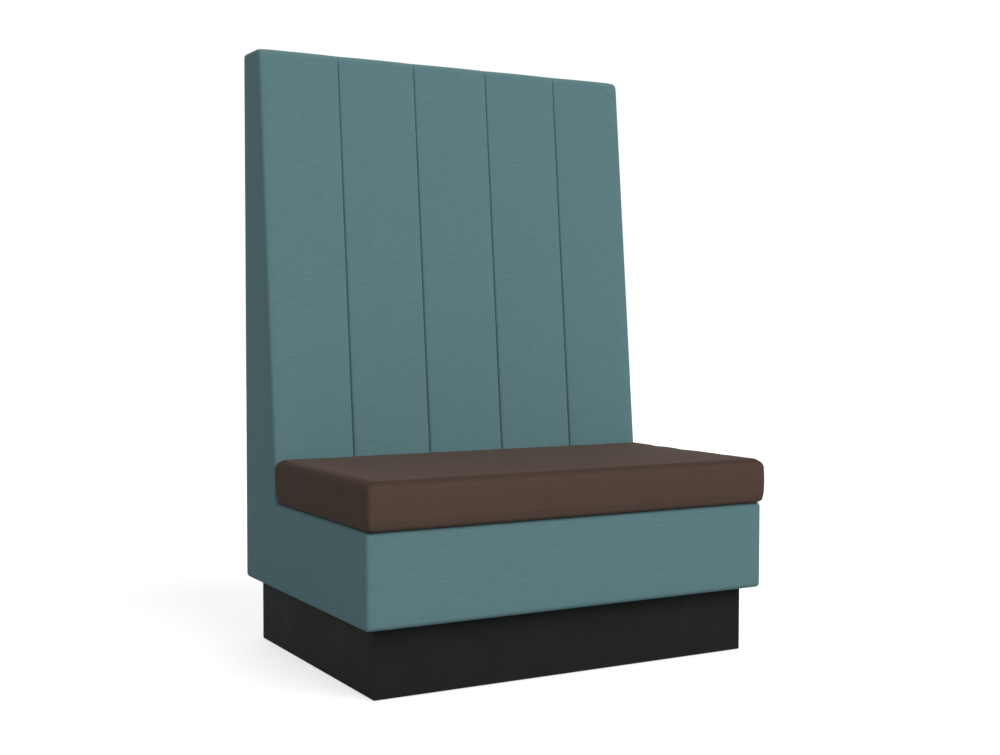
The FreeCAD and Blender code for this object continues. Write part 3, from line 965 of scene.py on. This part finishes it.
def cloth_paint(signal):
    """Plain weave of fine slubbed yarns: the thicker weft shows as faint streaks across the booth."""
    place = signal.node("ShaderNodeUVMap", {"uv_map": "flat cloth"})
    warp = place.axis(0)
    weft = place.axis(1)
    slub = place.noise((26.0, 560.0, 1.0), 3)
    ends = place.noise((560.0, 22.0, 1.0), 2)
    crossing = warp.wave(warp_pitch) * weft.wave(weft_pitch)
    cloudy = place.noise(7, 3)
    yarn = slub * 0.75 + ends * 0.25
    tone = yarn.ramp(0.2, 0.8).colour(rgb(90, 122, 125), rgb(101, 134, 138))
    shade = (crossing * 0.5 + 0.5) * 0.14 + cloudy * 0.06
    return {
        "Base Color": shade.colour(tone, rgb(77, 108, 111)),
        "Roughness": 0.82 + yarn * 0.12,
        "Normal": (crossing * 0.5 + yarn).bump(0.0002),
    }


teal_cloth = made_material("teal woven cloth", cloth_paint, {"Specular IOR Level": 0.06})
cover_bands = {
    "inside_back_cover": (rows[inside_start : rear_start + 1], panel_columns, inside_drop),
    "outside_back_cover": (rows[rear_start : rear_end + 1], plain_columns, parting_drop),
    "base_front_cover": (rows[: front_end + 1], plain_columns, parting_drop),
}
for name, (used, xs, drop) in cover_bands.items():
    band(name + "_cloth", used, xs, drop, deeper(drop, cloth), teal_cloth, "teal_cloth", name)
for word, side in end_sides.items():
    name = word + "_cover"
    side_piece(name + "_cloth", side, 0, cloth, True, teal_cloth, "teal_cloth", name)


# Seam thread: the panels' plain seams are lock stitched, and where a seam opens a little at its bottom
# the stitches show as short bars of darker thread from one lip to the other.
def thread_paint(signal):
    twist = object_place(signal).noise(2600, 2)
    return {"Base Color": twist.colour(rgb(58, 84, 87), rgb(74, 103, 106)), "Roughness": 0.6 + twist * 0.2}


sewing_thread = made_material("sewing thread", thread_paint, {"Specular IOR Level": 0.2})
thread_sizes = {"Stitch Length": 0.0045, "Thread Radius": 0.00028, "Bar Length": 0.0013}
thread_sides = 8
thread_depth_share = 0.62
lowest_stitch = 0.04


def stitch_bars(given):
    """A bar of thread lying across the seam at each stitch."""
    curve = given["Base"].node("GeometryNodeMeshToCurve", values={"Mesh": given["Base"]})
    along = {"Curve": curve, "Length": given["Stitch Length"]}
    spaced = curve.node("GeometryNodeResampleCurve", {"mode": "LENGTH"}, along)
    sizes = {"Vertices": thread_sides, "Radius": given["Thread Radius"], "Depth": given["Bar Length"]}
    bar = spaced.node("GeometryNodeMeshCylinder", values=sizes)
    return {"Points": spaced, "Instance": bar, "Rotation": (0, math.pi / 2, 0)}


def stitched_seams():
    """Bars of thread spaced along the bottom of each seam."""
    points = []
    edges = []
    used = [row for row in rows[lean_start:rear_start] if row.z > rim_z + lowest_stitch]
    for seam in seam_places:
        for k, row in enumerate(used):
            lip = panel_drop(row, seam + seam_lip)
            depth = lip + (panel_drop(row, seam) - lip) * thread_depth_share
            points.append(flat_point(row, seam, depth))
            if k:
                edges.append((len(points) - 2, len(points) - 1))
    line = drawn("seam_line", points, edges=edges)
    stitches = repeated("seam_stitches", line, thread_sizes, stitch_bars, sewing_thread)
    placed(stitches, "teal_cloth", "carcass")


stitched_seams()


# Cover staples: zinc plated wire staples, shot through the turned hems into the underside of the base.
def repaint(name, material):
    for slot in nodes[name].material_slots:
        slot.material = material


repaint("cover_staples", zinc_steel)


# Seat cushion cover: brown leathercloth, boxed and sewn, then pulled tight over the foam and stapled to
# the underside of the board. The pull rounds its edges and crowns its top a little.
seat_low, seat_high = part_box("seat_cover")
seat_half = seat_high.x
seat_front = seat_low.y
seat_bottom = seat_low.z
seat_crown = 0.0015
seat_shoulder = seat_high.z - seat_crown
seat_bulge = 0.002
seat_top_radius = 0.018
seat_corner_radius = 0.009
seat_lower_radius = 0.008
seat_lower_pull = 0.003
seat_lower_reach = 0.026
seat_crown_reach = 0.22
seat_back_gap = 0.0015
seat_cloth = 0.0012
seat_turn = 0.070
seat_fold = 0.012
seat_step = 0.009
corner_steps = 4
across_steps = 76
deep_steps = 38
seat_along = across_steps + 2 * corner_steps
seat_deep = deep_steps + 2 * corner_steps
seat_round = 2 * (seat_along + seat_deep)
seat_middle = (seat_bottom + seat_shoulder) / 2


def seat_rear(z):
    """The rear wall follows the lean of the back, just clear of it."""
    return back_y(min(z, seat_shoulder)) - seat_back_gap


def seat_ring(inset, z):
    """Points round one level of the cushion, from the middle of its front left corner."""
    reach = seat_half - inset - seat_corner_radius
    front = seat_front + inset + seat_corner_radius
    rear = seat_rear(z) - inset - seat_corner_radius
    centres = [Vector(spot) for spot in ((-reach, front), (reach, front), (reach, rear), (-reach, rear))]
    ring = []
    for side, start in enumerate(centres):
        end = centres[(side + 1) % 4]
        steps = deep_steps if side % 2 else across_steps
        facing = 270 + 90 * side
        bends = [facing - 45 + 45 * k / corner_steps for k in range(corner_steps)]
        spots = [(start, bend) for bend in bends]
        spots += [(start.lerp(end, k / steps), facing) for k in range(steps)]
        spots += [(end, bend + 45) for bend in bends]
        for spot, bend in spots:
            turn = math.radians(bend)
            out = Vector((math.cos(turn), math.sin(turn)))
            ring.append((spot + out * seat_corner_radius).to_3d() + Vector((0, 0, z)))
    return ring


def seat_levels(draw_in):
    """Inset and height of each ring, from the lower rounding up the full wall to the top rounding."""
    low = seat_bottom + draw_in
    shoulder = seat_shoulder - draw_in
    low_radius = seat_lower_radius - draw_in
    top_radius = seat_top_radius - draw_in
    levels = []
    for turn in (math.radians(18 * k) for k in range(6)):
        levels.append((low_radius * (1 - math.sin(turn)), low + low_radius * (1 - math.cos(turn))))
    levels += [(0, z) for z in stations([low + low_radius, shoulder - top_radius], seat_step)[1:-1]]
    for turn in (math.radians(10 * k) for k in range(10)):
        levels.append((top_radius * (1 - math.cos(turn)), shoulder - top_radius * (1 - math.sin(turn))))
    full = [(z - seat_middle) / (seat_shoulder - seat_middle) for _, z in levels]
    lower = [max(0, 1 - (z - seat_bottom) / seat_lower_reach) for _, z in levels]
    pulls = [seat_bulge * f * f + seat_lower_pull * g * g for f, g in zip(full, lower)]
    return [(draw_in + inset + pull, z) for (inset, z), pull in zip(levels, pulls)]


def filled(points, faces, start, upward=True):
    """Closes the ring of points from start on with a grid that blends its four sides."""
    ring = points[start : start + seat_round]
    front = ring[: seat_along + 1]
    right = ring[seat_along : seat_along + seat_deep + 1]
    rear = ring[seat_along + seat_deep : 2 * seat_along + seat_deep + 1][::-1]
    left = (ring[2 * seat_along + seat_deep :] + ring[:1])[::-1]
    index = {}
    for i in range(seat_along + 1):
        index[i, 0] = start + i
        index[i, seat_deep] = start + 2 * seat_along + seat_deep - i
    for j in range(seat_deep + 1):
        index[seat_along, j] = start + seat_along + j
        index[0, j] = start + (seat_round - j) % seat_round
    for j in range(1, seat_deep):
        for i in range(1, seat_along):
            u, w = i / seat_along, j / seat_deep
            edges = front[i] * (1 - w) + rear[i] * w + left[j] * (1 - u) + right[j] * u
            corners = front[0] * (1 - u) * (1 - w) + front[-1] * u * (1 - w)
            corners += rear[0] * (1 - u) * w + rear[-1] * u * w
            index[i, j] = len(points)
            points.append(edges - corners)
    for i in range(seat_along):
        for j in range(seat_deep):
            face = (index[i, j], index[i + 1, j], index[i + 1, j + 1], index[i, j + 1])
            faces.append(face if upward else face[:1] + face[:0:-1])


def seat_skin(draw_in, first_rings):
    """The points and faces of the cushion's form, drawn in, after some rings that lead up to it."""
    levels = seat_levels(draw_in)
    rings = first_rings + [seat_ring(inset, z) for inset, z in levels]
    points = [point for ring in rings for point in ring]
    last = len(points) - seat_round
    faces = []
    for a in range(last):
        b = a // seat_round * seat_round + (a + 1) % seat_round
        faces.append((a, b, b + seat_round, a + seat_round))
    filled(points, faces, last)
    inset, z = levels[-1]
    right = seat_half - inset
    front = seat_front + inset
    rear = seat_rear(z) - inset
    for point in points[last + seat_round :]:
        sides = [min(point.x + right, right - point.x), min(point.y - front, rear - point.y)]
        rise = [1 - (1 - min(1, max(0, side) / seat_crown_reach)) ** 2 for side in sides]
        point.z += seat_crown * rise[0] * rise[1]
    return points, faces


puff = 0.0016
puff_frames = 20
cover_cloth = {
    "quality": 6,
    "mass": 0.4,
    "tension_stiffness": 30,
    "compression_stiffness": 30,
    "shear_stiffness": 12,
    "bending_stiffness": 3,
    "air_damping": 4,
    "use_pressure": True,
    "uniform_pressure_force": 4.0,
    "vertex_group_mass": "held",
}


def puffed(points, faces, held):
    """Blows the cover up with a cloth simulation; the foam lets no point in, and none moves far out."""
    piece = in_scene("blown_cover", drawn("blown_cover", points, faces))
    piece.vertex_groups.new(name="held").add(held, 1.0, "REPLACE")
    modifier = piece.modifiers.new("cloth", "CLOTH")
    modifier.point_cache.frame_start = 1
    modifier.point_cache.frame_end = puff_frames
    for name, value in cover_cloth.items():
        setattr(modifier.settings, name, value)
    modifier.settings.effector_weights.gravity = 0
    for number in range(1, puff_frames + 1):
        bpy.context.scene.frame_set(number)
    blown = evaluated_mesh(piece, "blown")
    moved = []
    for before, after in zip(piece.data.vertices, blown.vertices):
        way = (after.co - before.co).dot(before.normal)
        moved.append(before.co + before.normal * puff * math.tanh(max(0, way) / puff))
    bpy.data.objects.remove(piece)
    bpy.context.scene.frame_set(1)
    return moved


def leathercloth_paint(signal):
    """Coated cloth with a fine pebbled grain and a matt face, and painted shade darkening its top edge."""
    place = object_place(signal)
    # This mask carries the painted shade along the cushion's top edge rounding.
    edge_shade = signal.node("ShaderNodeAttribute", {"attribute_name": "handled edge"}, output="Fac")
    settings = {"feature": "DISTANCE_TO_EDGE"}
    pebble = place.node("ShaderNodeTexVoronoi", settings, {"Vector": place, "Scale": 620.0})
    grain = pebble.ramp(0.0, 0.22)
    fine = place.noise(1500, 2)
    cloudy = place.noise(8, 3)
    # Painted shade: along the top edge the tone is darkened towards a deeper brown, as a dark line where the
    # top turns into the front.
    tone = edge_shade.colour(cloudy.colour(rgb(89, 73, 65), rgb(95, 78, 69)), rgb(78, 62, 54))
    return {
        "Base Color": (grain * 0.8 + 0.2).colour(rgb(64, 52, 46), tone),
        "Roughness": 0.72 - grain * 0.08 + fine * 0.08,
        "Normal": (grain + fine * 0.3).bump(0.00007),
    }


leathercloth_gloss = {"Specular IOR Level": 0.002, "Sheen Weight": 0.086, "Sheen Roughness": 0.3}
leathercloth = made_material("brown leathercloth", leathercloth_paint, leathercloth_gloss)
turned_rings = 6
held_levels = 3
# Where the painted shade along the top edge starts up the rounding, and how far it takes to reach full
# strength.
edge_shade_start = 0.1
edge_shade_reach = 0.75


def painted_edge_shade(point_count):
    """How strongly the painted shade darkens each point of the cover: none, then up its top rounding to all
    of it.
    """
    heights = [1 - (seat_shoulder - z) / seat_top_radius for _, z in seat_levels(0)]
    shares = [0] * turned_rings + [eased((height - edge_shade_start) / edge_shade_reach) for height in heights]
    shares[-1] /= 2
    edge_shade = [share for share in shares for _ in range(seat_round)]
    return edge_shade + [0] * (point_count - len(edge_shade))


def seat_cover():
    turn = seat_turn - seat_fold
    turned_in = [seat_ring(seat_turn - k * turn / turned_rings, seat_bottom) for k in range(turned_rings)]
    points, faces = seat_skin(0, turned_in)
    points = puffed(points, faces, list(range(seat_round * (turned_rings + held_levels))))
    mesh = smoothed(drawn("seat_cushion_cover", points, faces, leathercloth))
    # The share of painted shade at each point, read by the leathercloth material.
    edge_shade = mesh.attributes.new("handled edge", "FLOAT", "POINT")
    edge_shade.data.foreach_set("value", painted_edge_shade(len(points)))
    piece = placed(mesh, "brown_leathercloth", "seat", "seat_cover")
    rounding = piece.modifiers.new("round", "SUBSURF")
    rounding.levels = 1
    rounding.render_levels = 1
    wall = piece.modifiers.new("wall", "SOLIDIFY")
    wall.thickness = seat_cloth
    wall.offset = -1


seat_cover()


# Seat filling: a block of firm foam glued over a plywood board with vent holes, so that air leaves the
# cushion when someone sits down.
def seat_filling():
    draw_in = seat_cloth + snug
    board_low, board_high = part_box("seat_board")
    pocket = board_low.y - seat_front + snug
    lower = [seat_ring(pocket, board_high.z + snug), seat_ring(pocket, seat_bottom + draw_in)]
    points, faces = seat_skin(draw_in, lower)
    filled(points, faces, 0, upward=False)
    mesh = smoothed(drawn("seat_foam_block", points, faces, upholstery_foam), sewn_edge)
    placed(mesh, "upholstery_foam", "seat", "seat_foam")


seat_filling()
ply_board("seat_board", "seat")


# Underside of the seat: black cloth stapled over the board and the cover's raw edge, softwood battens
# that drop inside the rim to keep the cushion from sliding, and their screws.
black_thread_pitch = 0.0012
sheet_step = 0.012
sheet_margin = 0.02
sheet_slack = 0.00025
sheet_share = 0.6


def black_cloth_paint(signal):
    place = object_place(signal)
    threads = place.axis(0).wave(black_thread_pitch) * place.axis(1).wave(black_thread_pitch)
    fluff = place.noise(500, 3)
    return {
        "Base Color": fluff.colour(rgb(22, 22, 23), rgb(40, 40, 41)),
        "Roughness": 0.85 + fluff * 0.1,
        "Normal": (threads * 0.5 + fluff).bump(0.0001),
    }


black_cloth = made_material("black dust cloth", black_cloth_paint, {"Specular IOR Level": 0.15})


def underside_cloth():
    low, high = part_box("seat_underside_cloth")
    xs, ys = (stations([low[axis], high[axis]], sheet_step) for axis in range(2))
    upper = []
    for y in ys:
        for x in xs:
            inside = eased(min(x - low.x, high.x - x, y - low.y, high.y - y) / sheet_margin)
            wave = noise.noise(Vector((x * 14, y * 14, 5.0))) * sheet_slack
            upper.append(Vector((x, y, high.z - snug - sheet_slack * inside + wave * inside)))
    lower = [point - Vector((0, 0, (high.z - low.z) * sheet_share)) for point in upper]
    faces = walled([face[::-1] for face in grid_faces(len(ys), len(xs))], len(upper))
    mesh = drawn("seat_dust_cloth", lower + upper, faces, black_cloth)
    piece = placed(mesh, "black_cloth", "seat", "seat_underside_cloth")


underside_cloth()
eased_board("seat_locating_battens", pines[0], "softwood", "seat", planed_edge)
screws("batten_screws", "seat")
repaint("seat_staples", zinc_steel)


# Studio: a pale floor under an even white light, with a large soft lamp in front on the right, a weaker
# one behind, and the camera at the left front corner at half the booth's height.
floor_reach = 12.0
floor_colour = (0.5, 0.5, 0.5, 1.0)
floor_glow = 0.68
white = (1.0, 1.0, 1.0, 1.0)
world_level = 0.4
camera_place = (-1.6269, -2.8881, 0.7725)
camera_pitch = -2.383
camera_roll = -0.088
camera_yaw = 29.385
camera_lens = 50.76
film_width = 36.0
lamps = {
    "key lamp": ((0.32, -0.68, 0.62), 2.3, 50),
    "rear lamp": ((0.12, 0.86, 0.5), 0.9, 70),
}


def seen_rays(signal):
    """1 for what the camera sees, also in a mirror or through glass, and 0 for what lights the object."""
    ways = ("Is Camera Ray", "Is Glossy Ray", "Is Transmission Ray")
    camera_ray, glossy_ray, clear_ray = (signal.node("ShaderNodeLightPath", output=way) for way in ways)
    return camera_ray.maths("MAXIMUM", glossy_ray).maths("MAXIMUM", clear_ray)


def floor_material():
    """A pale floor that the camera and glossy things see as white, apart from a soft shadow."""
    material = bpy.data.materials.new("pale floor")
    material.use_nodes = True
    tree = material.node_tree
    tree.nodes.clear()
    start = Signal(tree)
    matt = start.node("ShaderNodeBsdfDiffuse", values={"Color": floor_colour})
    strength = seen_rays(start) * floor_glow
    glow = start.node("ShaderNodeEmission", values={"Color": white, "Strength": strength})
    both = start.node("ShaderNodeAddShader", values={0: matt, 1: glow})
    end = tree.nodes.new("ShaderNodeOutputMaterial")
    tree.links.new(both.output, end.inputs["Surface"])
    return material


corners = [(x * floor_reach, y * floor_reach, 0) for x, y in ((-1, -1), (1, -1), (1, 1), (-1, 1))]
in_scene("studio_floor", drawn("studio_floor", corners, [(0, 1, 2, 3)], floor_material()))

world = bpy.data.worlds.new("studio")
bpy.context.scene.world = world
world.use_nodes = True
level = seen_rays(Signal(world.node_tree)) * (1 - world_level) + world_level
world.node_tree.links.new(level.output, world.node_tree.nodes["Background"].inputs["Strength"])
world.node_tree.nodes["Background"].inputs["Color"].default_value = white

for name, (towards, strength, spread) in lamps.items():
    light = bpy.data.lights.new(name, "SUN")
    light.energy = strength
    light.angle = math.radians(spread)
    lamp = in_scene(name, light)
    lamp.rotation_mode = "QUATERNION"
    lamp.rotation_quaternion = Vector(towards).to_track_quat("Z", "Y")

camera = in_scene("camera", bpy.data.cameras.new("camera"))
camera.data.lens = camera_lens
camera.data.sensor_width = film_width
camera.location = camera_place
camera.rotation_mode = "XYZ"
camera.rotation_euler = [math.radians(turn) for turn in (90 + camera_pitch, camera_roll, -camera_yaw)]
bpy.context.scene.camera = camera
bpy.context.scene.view_settings.view_transform = "Standard"
